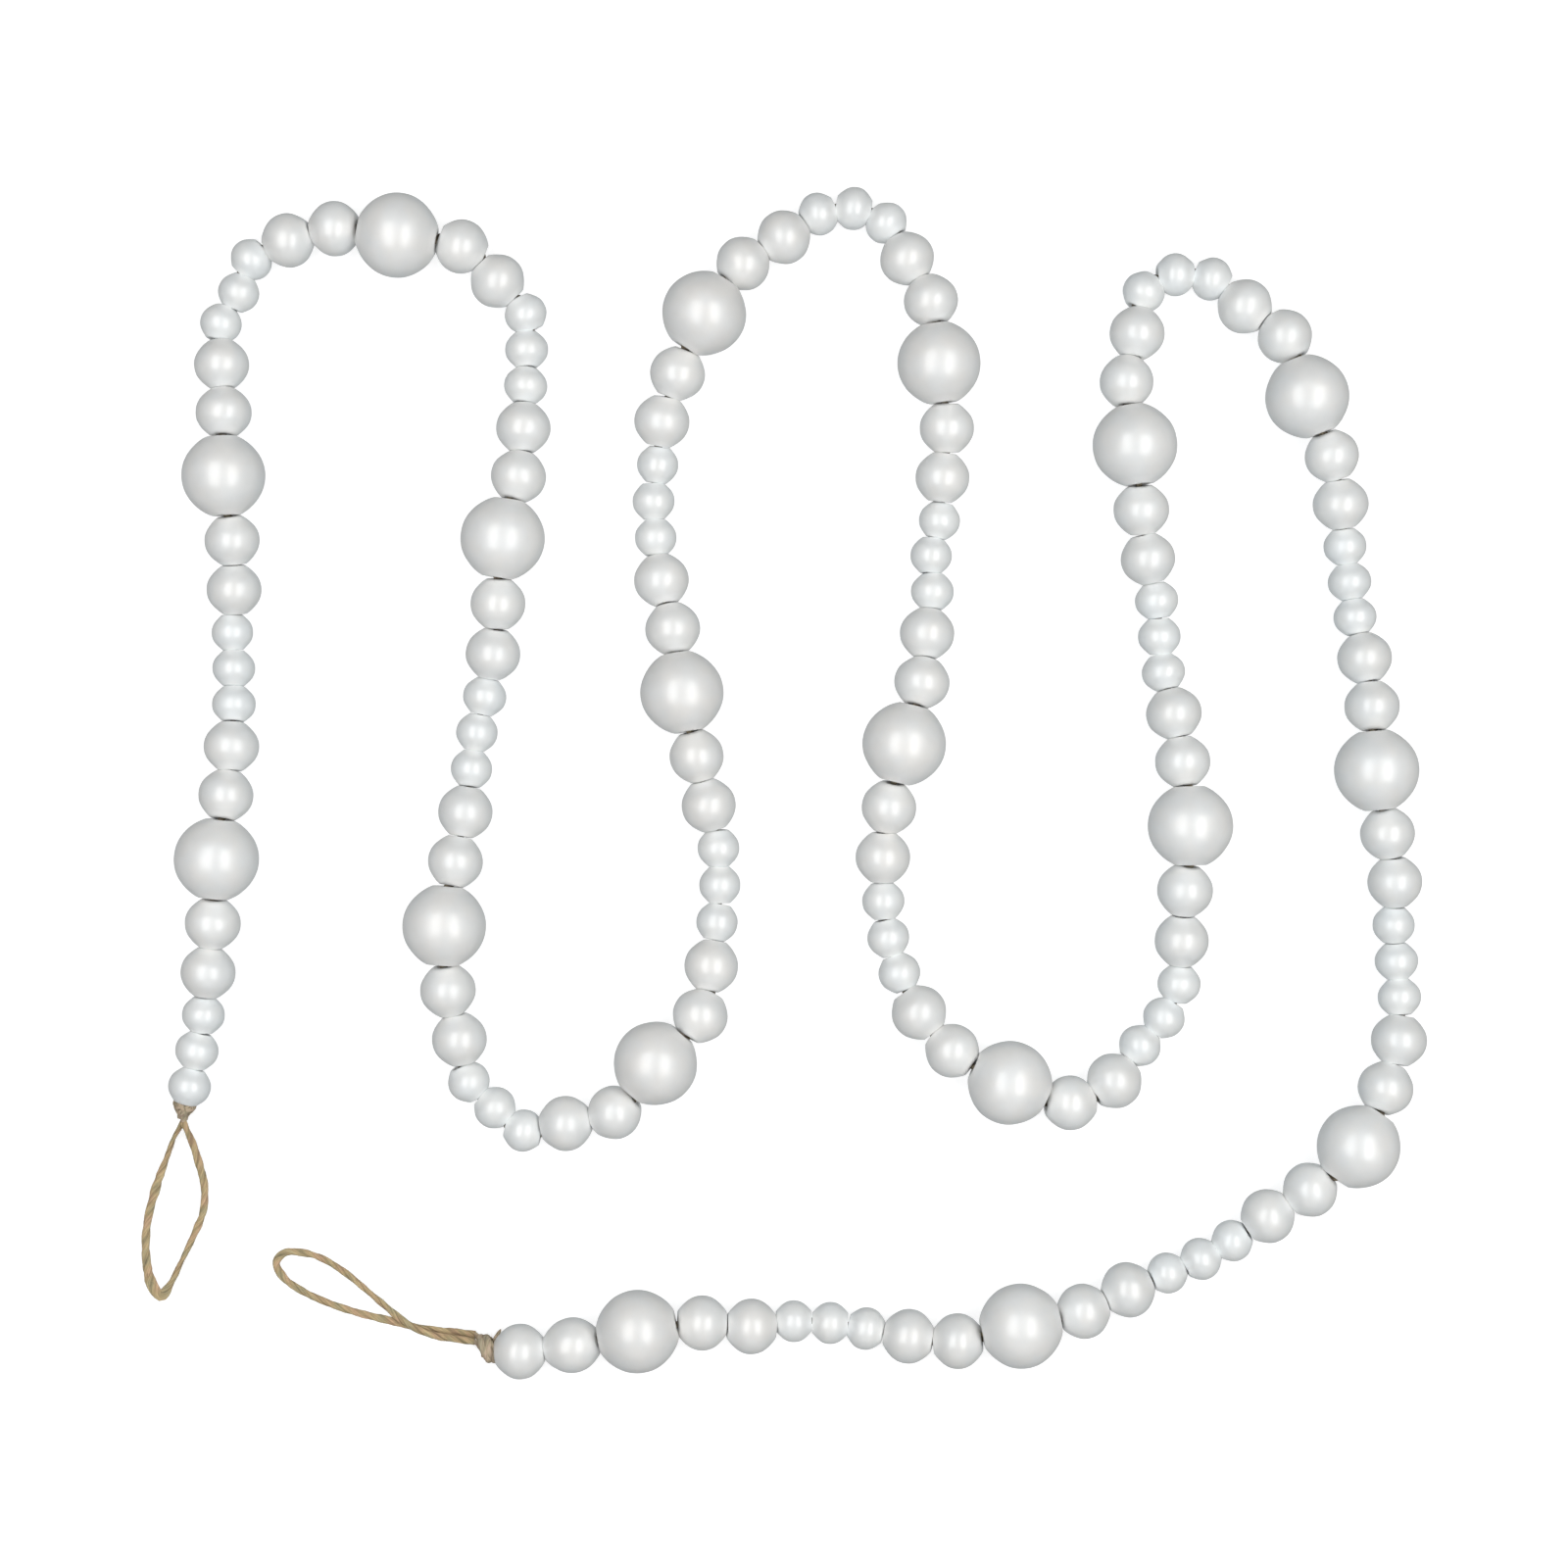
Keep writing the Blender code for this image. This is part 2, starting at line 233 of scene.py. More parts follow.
def noted(tree, name, kind="FLOAT"):
    """What was noted on the geometry under this name."""
    return step(tree, "GeometryNodeInputNamedAttribute", {"Name": name}, data_type=kind)


def note(tree, geometry, name, value, kind="FLOAT", domain="POINT"):
    """Notes a value on the geometry, for later steps or for the material."""
    values = {"Geometry": geometry, "Name": name, "Value": value}
    return step(tree, "GeometryNodeStoreNamedAttribute", values, data_type=kind, domain=domain)


def new_recipe(name, **inputs):
    """An empty Geometry Nodes tree with named inputs, and the sockets that they come in by."""
    tree = bpy.data.node_groups.new(name, "GeometryNodeTree")
    tree.interface.new_socket("Geometry", in_out="OUTPUT", socket_type="NodeSocketGeometry")
    tree.interface.new_socket("Geometry", in_out="INPUT", socket_type="NodeSocketGeometry")
    for label, kind in inputs.items():
        tree.interface.new_socket(label, in_out="INPUT", socket_type="NodeSocket" + kind)
    return tree, tree.nodes.new("NodeGroupInput").outputs


def end_recipe(tree, geometry, material):
    geometry = step(tree, "GeometryNodeRealizeInstances", {"Geometry": geometry})
    geometry = step(tree, "GeometryNodeSetMaterial", {"Geometry": geometry, "Material": material})
    tree.links.new(geometry, tree.nodes.new("NodeGroupOutput").inputs[0])
    return tree


def made_by(recipe, name, start, **values):
    """A new object with the plain mesh that the recipe makes from its start."""
    piece = bpy.data.objects.new(name, start)
    modifier = piece.modifiers.new("recipe", "NODES")
    modifier.node_group = recipe
    for socket in recipe.interface.items_tree:
        if socket.in_out == "INPUT" and socket.name in values:
            modifier[socket.identifier] = values[socket.name]
    bpy.context.scene.collection.objects.link(piece)
    graph = bpy.context.evaluated_depsgraph_get()
    mesh = bpy.data.meshes.new_from_object(piece.evaluated_get(graph))
    piece.modifiers.remove(modifier)
    piece.data = mesh
    return piece


SWELLINGS_PER_METRE = 300.0


def twine_recipe():
    """Twine along strands: an oval of two plies, with grooves between them that wind round it."""
    tree, given = new_recipe(
        "twine",
        Pitch="Float",
        Groove="Float",
        Swelling="Float",
        Seed="Float",
        Sides="Int",
        Twine="Material",
    )
    curve = step(tree, "GeometryNodeMeshToCurve", {"Mesh": given["Geometry"]})
    curve = note(tree, curve, "along", step(tree, "GeometryNodeSplineParameter", output="Length"))
    curve = note(tree, curve, "middle", step(tree, "GeometryNodeInputPosition"), "FLOAT_VECTOR")
    curve = note(tree, curve, "onwards", step(tree, "GeometryNodeInputTangent"), "FLOAT_VECTOR")
    outline = step(tree, "GeometryNodeCurvePrimitiveCircle", {"Resolution": given["Sides"], "Radius": MM})
    outline = note(tree, outline, "around", step(tree, "GeometryNodeSplineParameter", output="Factor"))
    values = {"Curve": curve, "Profile Curve": outline, "Fill Caps": True}
    tube = step(tree, "GeometryNodeCurveToMesh", values)

    # The plies cross over each other once in each pitch
    along = noted(tree, "along")
    around = maths(tree, "MULTIPLY", noted(tree, "around"), -math.tau)
    turned = maths(tree, "MULTIPLY", maths(tree, "DIVIDE", along, given["Pitch"]), math.pi)
    angle = maths(tree, "ADD", around, turned)
    ply = maths(tree, "ABSOLUTE", maths(tree, "COSINE", angle))
    depth = maths(tree, "MULTIPLY", maths(tree, "SUBTRACT", 1.0, ply), given["Groove"])
    place = maths(tree, "MULTIPLY", along, SWELLINGS_PER_METRE)
    values = {"W": maths(tree, "ADD", place, given["Seed"]), "Scale": 1.0, "Detail": 3.0}
    swell = step(tree, "ShaderNodeTexNoise", values, noise_dimensions="1D")
    swell = maths(tree, "MULTIPLY", maths(tree, "SUBTRACT", swell, 0.5), given["Swelling"])
    radius = maths(tree, "SUBTRACT", maths(tree, "ADD", 0.5, swell), maths(tree, "MULTIPLY", depth, 0.5))

    sideways = noted(tree, "sideways", "FLOAT_VECTOR")
    upwards = vectors(tree, "CROSS_PRODUCT", sideways, noted(tree, "onwards", "FLOAT_VECTOR"))
    wide = maths(tree, "MULTIPLY", noted(tree, "width"), radius)
    wide = maths(tree, "MULTIPLY", wide, maths(tree, "COSINE", around))
    high = maths(tree, "MULTIPLY", noted(tree, "height"), radius)
    high = maths(tree, "MULTIPLY", high, maths(tree, "SINE", around))
    outwards = vectors(tree, "ADD", scaled(tree, sideways, wide), scaled(tree, upwards, high))
    place = vectors(tree, "ADD", noted(tree, "middle", "FLOAT_VECTOR"), outwards)
    tube = step(tree, "GeometryNodeSetPosition", {"Geometry": tube, "Position": place})

    values = {"X": maths(tree, "COSINE", angle), "Y": maths(tree, "SINE", angle)}
    values["Z"] = maths(tree, "DIVIDE", along, MM)
    tube = note(tree, tube, "fibre", step(tree, "ShaderNodeCombineXYZ", values), "FLOAT_VECTOR")
    tube = note(tree, tube, "ply", ply)
    tube = step(tree, "GeometryNodeSetShadeSmooth", {"Geometry": tube, "Shade Smooth": True})
    return end_recipe(tree, tube, given["Twine"])


# Nearly all of a noise pattern lies between these
NOISE_LOW = 0.3
NOISE_HIGH = 0.7
# How dense the streaks and the patches are round the twine and along it
STREAK_DENSITY = (2.2, 2.2, 0.12)
PATCH_DENSITY = (0.4, 0.4, 0.16)
DARKEST_STREAK = 0.57
LIGHTEST_STREAK = 1.35
# Painted shade in the grooves between the plies: how far it reaches from a groove, and how dark it gets
GROOVE_WIDTH = 0.45
GROOVE_PAINTED_SHADE = 0.52


def jute_fibres(name, *colours):
    """Jute: fine streaks along the plies, patches of its colours, and painted shade in the grooves."""
    material = bpy.data.materials.new(name)
    material.use_nodes = True
    tree = material.node_tree
    shader = tree.nodes["Principled BSDF"]
    fibre = step(tree, "ShaderNodeAttribute", output="Vector", attribute_name="fibre")
    ply = step(tree, "ShaderNodeAttribute", output="Fac", attribute_name="ply")
    lengthwise = vectors(tree, "MULTIPLY", fibre, STREAK_DENSITY)
    streaks = step(tree, "ShaderNodeTexNoise", {"Vector": lengthwise, "Scale": 1.6, "Detail": 5.0})
    patchwise = vectors(tree, "MULTIPLY", fibre, PATCH_DENSITY)
    patches = step(tree, "ShaderNodeTexNoise", {"Vector": patchwise, "Scale": 1.0, "Detail": 2.0})

    ramp = tree.nodes.new("ShaderNodeValToRGB")
    stops = ramp.color_ramp.elements
    stops[0].position = 0.36
    stops[0].color = (*colours[0], 1.0)
    stops[1].position = 0.64
    stops[1].color = (*colours[2], 1.0)
    stops.new(0.5).color = (*colours[1], 1.0)
    tree.links.new(patches, ramp.inputs["Fac"])
    values = {"Value": streaks, "From Min": NOISE_LOW, "From Max": NOISE_HIGH}
    values.update({"To Min": DARKEST_STREAK, "To Max": LIGHTEST_STREAK})
    streak_light = step(tree, "ShaderNodeMapRange", values)
    # Painted shade in the grooves between the plies
    values = {"Value": ply, "From Max": GROOVE_WIDTH, "To Min": GROOVE_PAINTED_SHADE}
    painted_groove_shade = step(tree, "ShaderNodeMapRange", values)
    light = maths(tree, "MULTIPLY", streak_light, painted_groove_shade)
    colour = scaled(tree, ramp.outputs["Color"], light)
    tree.links.new(colour, shader.inputs["Base Color"])
    values = {"Height": streaks, "Distance": 0.15 * MM, "Strength": 0.8}
    tree.links.new(step(tree, "ShaderNodeBump", values), shader.inputs["Normal"])
    shader.inputs["Roughness"].default_value = 0.82
    shader.inputs["Specular IOR Level"].default_value = 0.25
    return material


# The bend and the tip of a fibre, as shares of its length
BEND_HEIGHT = 0.55
TIP_HEIGHT = 0.9
TIP_ASIDE = 0.3
SHORTEST_FIBRE = 0.35


def fibre_recipe():
    """Loose fibres that stand off the twine: short bent hairs, most of them nearly along it."""
    tree, given = new_recipe(
        "loose_fibres",
        Density="Float",
        Length="Float",
        Thickness="Float",
        Lift="Float",
        Seed="Int",
        Twine="Material",
    )
    bend_height = maths(tree, "MULTIPLY", given["Length"], BEND_HEIGHT)
    middle = step(tree, "ShaderNodeCombineXYZ", {"Z": bend_height})
    values = {"X": maths(tree, "MULTIPLY", given["Length"], TIP_ASIDE)}
    values["Z"] = maths(tree, "MULTIPLY", given["Length"], TIP_HEIGHT)
    tip = step(tree, "ShaderNodeCombineXYZ", values)
    values = {"Resolution": 5, "Start": (0.0, 0.0, 0.0), "Middle": middle, "End": tip}
    hair = step(tree, "GeometryNodeCurveQuadraticBezier", values)
    outline = step(tree, "GeometryNodeCurvePrimitiveCircle", {"Resolution": 3, "Radius": given["Thickness"]})
    values = {"Curve": hair, "Profile Curve": outline, "Fill Caps": True}
    hair = step(tree, "GeometryNodeCurveToMesh", values)
    own_place = scaled(tree, step(tree, "GeometryNodeInputPosition"), 1 / MM)
    hair = note(tree, hair, "fibre", own_place, "FLOAT_VECTOR")
    hair = note(tree, hair, "ply", 1.0)

    values = {"Mesh": given["Geometry"], "Density": given["Density"], "Seed": given["Seed"]}
    roots = step(tree, "GeometryNodeDistributePointsOnFaces", values, output="Points")
    surface = in_use(roots.node.outputs, "Normal")
    values = {"Min": (-1.0, -1.0, -1.0), "Max": (1.0, 1.0, 1.0), "Seed": given["Seed"]}
    chance = step(tree, "FunctionNodeRandomValue", values, data_type="FLOAT_VECTOR")
    parts = step(tree, "ShaderNodeSeparateXYZ", {"Vector": chance}, "X").node.outputs
    way = scaled(tree, noted(tree, "onwards", "FLOAT_VECTOR"), maths(tree, "SIGN", parts["X"]))
    lift = maths(tree, "MULTIPLY", maths(tree, "ABSOLUTE", parts["Y"]), given["Lift"])
    direction = vectors(tree, "ADD", way, scaled(tree, surface, lift))
    values = {"Vector": direction}
    rotation = step(tree, "FunctionNodeAlignRotationToVector", values, axis="Z")
    turn = step(tree, "ShaderNodeCombineXYZ", {"Z": maths(tree, "MULTIPLY", parts["Z"], math.pi)})
    turn = step(tree, "FunctionNodeEulerToRotation", {"Euler": turn})
    values = {"Rotation": rotation, "Rotate By": turn}
    rotation = step(tree, "FunctionNodeRotateRotation", values, rotation_space="LOCAL")
    values = {"Min": SHORTEST_FIBRE, "Max": 1.0, "Seed": maths(tree, "ADD", given["Seed"], 1.0)}
    size = step(tree, "FunctionNodeRandomValue", values, data_type="FLOAT")
    values = {"Points": roots, "Instance": hair, "Rotation": rotation, "Scale": size}
    hairs = step(tree, "GeometryNodeInstanceOnPoints", values)

    # A fibre that reaches the table lies along it
    hairs = step(tree, "GeometryNodeRealizeInstances", {"Geometry": hairs})
    position = step(tree, "GeometryNodeInputPosition")
    place = step(tree, "ShaderNodeSeparateXYZ", {"Vector": position}, "X").node.outputs
    values = {"X": place["X"], "Y": place["Y"], "Z": maths(tree, "MAXIMUM", place["Z"], given["Thickness"])}
    place = step(tree, "ShaderNodeCombineXYZ", values)
    hairs = step(tree, "GeometryNodeSetPosition", {"Geometry": hairs, "Position": place})
    return end_recipe(tree, hairs, given["Twine"])


twine = twine_recipe()
loose_fibres = fibre_recipe()
RUSTY = (0.5, 0.344, 0.213)
STRAW = (0.47, 0.36, 0.2)
OLIVE = (0.402, 0.344, 0.207)
jute = jute_fibres("jute_fibres", RUSTY, STRAW, OLIVE)
LOOP_TWIST = {"Pitch": 8.5 * MM, "Groove": 0.16, "Swelling": 0.16, "Sides": 24}
STRAY = {"Density": 150_000.0, "Length": 2.6 * MM, "Thickness": 0.035 * MM, "Lift": 0.5}


def add_fibres(name, strand_piece, seed):
    """Loose fibres on a piece of twine."""
    piece = made_by(loose_fibres, name, strand_piece.data.copy(), Seed=seed, Twine=jute, **STRAY)
    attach(piece, "root")
    return piece


def add_loop(name, node, strand, seed):
    """A hanging loop in the place of its solid tube, as a free cord that ends where it began."""
    piece = made_by(twine, name, twine_mesh(strand), Seed=seed, Twine=jute, **LOOP_TWIST)
    fibres = add_fibres(name + "_fibres", piece, round(seed))
    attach(piece, "root")
    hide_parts(node)


start_strand = lying_twine(in_metres(START_LOOP), START_WIDTHS)
add_loop("hanging_loop_start", "twine_loop_start", start_strand, seed=1.1)

# Hanging loop at the last bead
# The other end of the same twine. One strand crosses over the other, and then the two lie side by side
# up to the knot.
END_LOOP = (
    (-116.7, -200.1, 6.8),
    (-120.2, -199.9, 5.0),
    (-125.6, -199.8, 2.6),
    (-131.6, -199.3, 1.3),
    (-140.0, -198.0, 1.2),
    (-147.9, -196.0, 1.2),
    (-159.7, -193.1, 1.2),
    (-170.1, -189.7, 1.2),
    (-180.2, -185.1, 1.2),
    (-186.9, -180.3, 1.2),
    (-189.7, -174.8, 1.2),
    (-186.7, -171.2, 1.2),
    (-180.4, -171.1, 1.2),
    (-173.3, -173.1, 1.2),
    (-164.6, -178.4, 1.2),
    (-156.4, -185.1, 1.3),
    (-149.3, -190.9, 2.2),
    (-144.5, -194.7, 3.4),
    (-139.9, -197.6, 3.9),
    (-134.8, -200.0, 3.8),
    (-129.8, -201.2, 4.2),
    (-124.7, -201.6, 6.0),
    (-120.0, -201.9, 8.2),
    (-116.7, -202.2, 9.5),
)
END_WIDTHS_OUT = (2.8, 2.9, 2.9, 2.6, 2.5, 3.1, 2.8, 2.7, 2.7, 3.0, 3.1)
END_WIDTHS_BACK = (2.8, 2.8, 2.5, 2.6, 2.2, 2.5, 3.0, 2.6, 2.6, 2.8, 2.8, 2.8, 2.6)

end_strand = lying_twine(in_metres(END_LOOP), END_WIDTHS_OUT + END_WIDTHS_BACK)
add_loop("hanging_loop_end", "twine_loop_end", end_strand, seed=4.4)

# How the beads lie
# Each bead is a turned ball cut flat at its holes. They are pushed together on the twine: five smaller
# ones, then a large one and seven smaller ones in turn, and two after the last large one.
Bead = namedtuple("Bead", "diameter length")
Threaded = namedtuple("Threaded", "bead centre axis length")
LARGE = Bead(diameter=30.4 * MM, length=28.4 * MM)
MEDIUM = Bead(diameter=20.0 * MM, length=17.8 * MM)
SMALL = Bead(diameter=15.4 * MM, length=13.0 * MM)
RUN_OF_BEADS = (MEDIUM, MEDIUM, SMALL, SMALL, SMALL, MEDIUM, MEDIUM)
BEADS_BEFORE_FIRST_LARGE = 5
BEADS_AFTER_LAST_LARGE = 2
LIFT_BESIDE_LARGE = 1.5 * MM
MOST_STRETCH = 1.12
GAP = 0.3 * MM
FIRST_SMALLER_BEADS = ((-220, -110), (-215, -84), (-211, -51))
ROWS = (
    ((-209, -27.5), (-204.5, 12.5), (-204, 41), (-204.5, 54.5), (-203.5, 69.5), (-204, 88)),
    (
        (-206.5, 110.5), (-207, 133), (-208, 151), (-209, 165),
        (-202, 178), (-198, 189), (-184, 196), (-168, 200),
    ),
    ((-144, 197), (-122, 194), (-108, 181), (-98, 169), (-98, 156), (-99, 128), (-100.5, 111)),
    ((-106, 88), (-108, 64.5), (-110, 46), (-116, 18), (-120, -11)),
    (
        (-127, -51.5), (-126, -75.5), (-122, -93), (-119, -108),
        (-109, -118), (-99, -126), (-83, -123), (-66, -119),
    ),
    ((-51, -101), (-35, -84), (-31, -66), (-28, -37), (-28.5, -23.5), (-32, -8)),
    ((-41.5, 32.5), (-45, 56), (-49, 73), (-52, 101), (-50.5, 115), (-49, 130)),
    ((-33.5, 169), (-20, 187), (-5, 197), (8, 206), (20, 208), (33, 202), (40, 189), (48, 175)),
    ((51, 151), (54, 128.5), (52.5, 110), (51.5, 94.5), (48.5, 82), (49, 69), (47, 54), (45, 36)),
    ((38.5, 14), (33, -9.5), (31, -27), (33, -56), (44, -83), (57, -97.5)),
    (
        (76.5, -108), (99.5, -115.5), (116, -106.5), (125, -94),
        (133.5, -84), (138.5, -72), (139, -56), (140, -39),
    ),
    ((141.5, -15.5), (139, 9), (136, 26), (132.5, 41), (131, 55), (130, 67.5), (126.5, 82.5)),
    ((121.5, 121.5), (119, 146), (123, 163), (125, 177), (137, 184), (151, 182), (162, 172), (176.5, 160.5)),
    ((183.5, 139), (193, 118), (200, 73), (202, 60), (205, 45.5), (207.5, 28)),
    ((208.5, 4.5), (213, -18), (216, -36), (216, -51), (217, -64), (217.5, -93)),
    ((202, -131), (185, -147), (169.5, -157), (156.5, -166.5), (146, -172.5), (119, -183.5), (102.5, -191)),
    ((80.5, -195.5), (58, -201.5), (40, -200), (11, -195.5), (-2, -195), (-17, -196.5), (-35, -195)),
    ((-57.5, -197.5), (-81, -203)),
)
LAST_SMALLER_BEAD = (-100.2, -205.5)
START_KNOT_PLACE = (-222, -119)
END_KNOT_PLACE = (-112, -204)


def resting_height(order, index):
    """Height of a bead's centre: each rests on the floor, but for those beside a large bead."""
    bead = order[index]
    beside = order[max(index - 1, 0)], order[min(index + 1, len(order) - 1)]
    lift = LIFT_BESIDE_LARGE if bead is MEDIUM and LARGE in beside else 0.0
    return bead.diameter / 2 + lift


def stretch_between(order, here, there, way):
    """How far the smaller beads between two placed ones are stretched to fill the way."""
    room = way - GAP * (there - here) - (order[here].length + order[there].length) / 2
    return room / sum(bead.length for bead in order[here + 1 : there])


def knot_centre(place, beside):
    """A knot's middle, as high as the hole of the bead beside it."""
    return Vector((place[0] * MM, place[1] * MM, beside.z))


def order_of_beads():
    """The kinds of bead from the first to the last."""
    order = list(RUN_OF_BEADS[-BEADS_BEFORE_FIRST_LARGE:])
    for row in ROWS[:-1]:
        order += [LARGE, *RUN_OF_BEADS]
    return order + [LARGE, *RUN_OF_BEADS[:BEADS_AFTER_LAST_LARGE]]


def route_of_beads():
    """The places on the route, and which of them are those of the first, the last and every large bead."""
    route = list(FIRST_SMALLER_BEADS)
    placed = [0]
    for row in ROWS:
        placed.append(len(route))
        route.extend(row)
    placed.append(len(route))
    route.append(LAST_SMALLER_BEAD)
    return [(x * MM, y * MM) for x, y in route], placed


def thread_beads():
    """Every bead in its order on the twine, with its place, the direction of its hole and its length."""
    order = order_of_beads()
    placed = [0, *(index for index, bead in enumerate(order) if bead is LARGE), len(order) - 1]
    route, route_places = route_of_beads()
    line = smooth_curve(route)
    distances = distances_along(line)
    ways = [distances[place * CURVE_STEPS] for place in route_places]

    # The first, the last and every large bead are where the route has them, and the others fill the way
    along = [ways[0]]
    lengths = [order[0].length]
    for here, there, start, end in zip(placed, placed[1:], ways, ways[1:]):
        stretch = stretch_between(order, here, there, end - start)
        travelled = start + order[here].length / 2
        for bead in order[here + 1 : there]:
            along.append(travelled + GAP + bead.length * stretch / 2)
            lengths.append(bead.length * min(stretch, MOST_STRETCH))
            travelled += GAP + bead.length * stretch
        along.append(end)
        lengths.append(order[there].length)

    centres = []
    for index, distance in enumerate(along):
        place = place_at(line, distances, distance)
        centres.append(Vector((place.x, place.y, resting_height(order, index))))

    # A hole points from the bead before to the bead after, or to the knot
    before = [knot_centre(START_KNOT_PLACE, centres[0]), *centres[:-1]]
    after = [*centres[1:], knot_centre(END_KNOT_PLACE, centres[-1])]
    axes = [(far - near).normalized() for near, far in zip(before, after)]
    return [Threaded(*values) for values in zip(order, centres, axes, lengths)]


beads = thread_beads()
runs = [name for name in sorted(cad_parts) if name.startswith("bead_run")]

# Large beads
# Turned from light wood, bored, and painted white with a satin pearly paint that has filled the grain.
# They hang on the twine by their bored holes alone.
HOLE_DIAMETER = 5.0 * MM
LARGE_COLOUR = (0.797, 0.795, 0.787)
LARGE_COAT = 0.21
WARM = 1.01
# Painted light: the paint gets whiter over this many millimetres before each mouth, up to this factor
LIP_WIDTH = 2.2
PAINTED_LIGHT_AT_LIP = 1.1
DARKEST_BEAD = 0.985
LIGHTEST_BEAD = 1.015
DARKEST_PATCH = 0.98
LIGHTEST_PATCH = 1.02
SHINIEST_PATCH = 0.43
DULLEST_PATCH = 0.49
PATCH_SCALE = 0.16
GRAIN_SCALE = 1.1
PEARL_SCALE = 0.11
# Each bead takes its patches from its own part of the pattern, and the pearly tint from another one
APART = 400.0
PEARL_SHIFT = 50.0
# The last rings at both ends of a bead go over its flats and down its hole
RINGS_PAST_BALL = 8.0
MERGED_WITHIN = 0.001 * MM
LUMPS_ON_BEAD = 2.2


def turned_and_bored(tree, given):
    """One bead with its hole upright: a sheet bent to its belly, its flats and the wall of its hole."""

    def flattened(latitude):
        """The share of the ball's radius here: the shoulders between the belly and the holes are cut back."""
        cut = maths(tree, "POWER", maths(tree, "SINE", maths(tree, "MULTIPLY", latitude, 2.0)), 4.0)
        return maths(tree, "SUBTRACT", 1.0, maths(tree, "MULTIPLY", cut, given["Shoulder"]))

    sides = maths(tree, "ADD", given["Sides"], 1.0)
    values = {"Size X": 1.0, "Size Y": 1.0, "Vertices X": given["Rings"], "Vertices Y": sides}
    sheet = step(tree, "GeometryNodeMeshGrid", values)
    spot = step(tree, "GeometryNodeInputPosition")
    across = maths(tree, "MULTIPLY", step(tree, "ShaderNodeSeparateXYZ", {"Vector": spot}, "X"), 2.0)
    turn = maths(tree, "MULTIPLY", step(tree, "ShaderNodeSeparateXYZ", {"Vector": spot}, "Y"), -math.tau)

    # How far each ring is from the belly to the flat, over the flat, or down the hole to its middle
    share = maths(tree, "DIVIDE", RINGS_PAST_BALL, maths(tree, "SUBTRACT", given["Rings"], 1.0))
    ball_share = maths(tree, "SUBTRACT", 1.0, share)
    share_of_ball = maths(tree, "DIVIDE", given["Length"], given["Diameter"])
    plain_angle = maths(tree, "ARCSINE", share_of_ball)
    mouth_angle = maths(tree, "ARCSINE", maths(tree, "DIVIDE", share_of_ball, flattened(plain_angle)))
    on_ball = maths(tree, "DIVIDE", across, ball_share)
    on_ball = maths(tree, "MAXIMUM", maths(tree, "MINIMUM", on_ball, 1.0), -1.0)
    latitude = maths(tree, "MULTIPLY", on_ball, mouth_angle)
    past_ball = maths(tree, "SUBTRACT", maths(tree, "ABSOLUTE", across), ball_share)
    inwards = maths(tree, "MULTIPLY", maths(tree, "DIVIDE", past_ball, share), 2.0)
    over_flat = maths(tree, "MINIMUM", maths(tree, "MAXIMUM", inwards, 0.0), 1.0)
    down_hole = maths(tree, "MAXIMUM", maths(tree, "SUBTRACT", inwards, 1.0), 0.0)

    radius = maths(tree, "MULTIPLY", given["Diameter"], 0.5)
    radius = maths(tree, "MULTIPLY", radius, flattened(latitude))
    mouth = maths(tree, "MULTIPLY", maths(tree, "COSINE", mouth_angle), radius)
    flat_width = maths(tree, "SUBTRACT", mouth, maths(tree, "MULTIPLY", given["Hole"], 0.5))
    out = maths(tree, "MULTIPLY", maths(tree, "COSINE", latitude), radius)
    out = maths(tree, "SUBTRACT", out, maths(tree, "MULTIPLY", flat_width, over_flat))
    up = maths(tree, "MULTIPLY", maths(tree, "SINE", latitude), radius)
    back = maths(tree, "MULTIPLY", maths(tree, "SIGN", across), down_hole)
    half_length = maths(tree, "MULTIPLY", given["Length"], 0.5)
    up = maths(tree, "SUBTRACT", up, maths(tree, "MULTIPLY", back, half_length))
    values = {"X": maths(tree, "MULTIPLY", out, maths(tree, "COSINE", turn))}
    values["Y"] = maths(tree, "MULTIPLY", out, maths(tree, "SINE", turn))
    values["Z"] = up
    place = step(tree, "ShaderNodeCombineXYZ", values)
    bead = step(tree, "GeometryNodeSetPosition", {"Geometry": sheet, "Position": place})
    bead = step(tree, "GeometryNodeMergeByDistance", {"Geometry": bead, "Distance": MERGED_WITHIN})
    own_place = scaled(tree, step(tree, "GeometryNodeInputPosition"), 1 / MM)
    bead = note(tree, bead, "own_place", own_place, "FLOAT_VECTOR")
    return step(tree, "GeometryNodeSetShadeSmooth", {"Geometry": bead, "Shade Smooth": True})


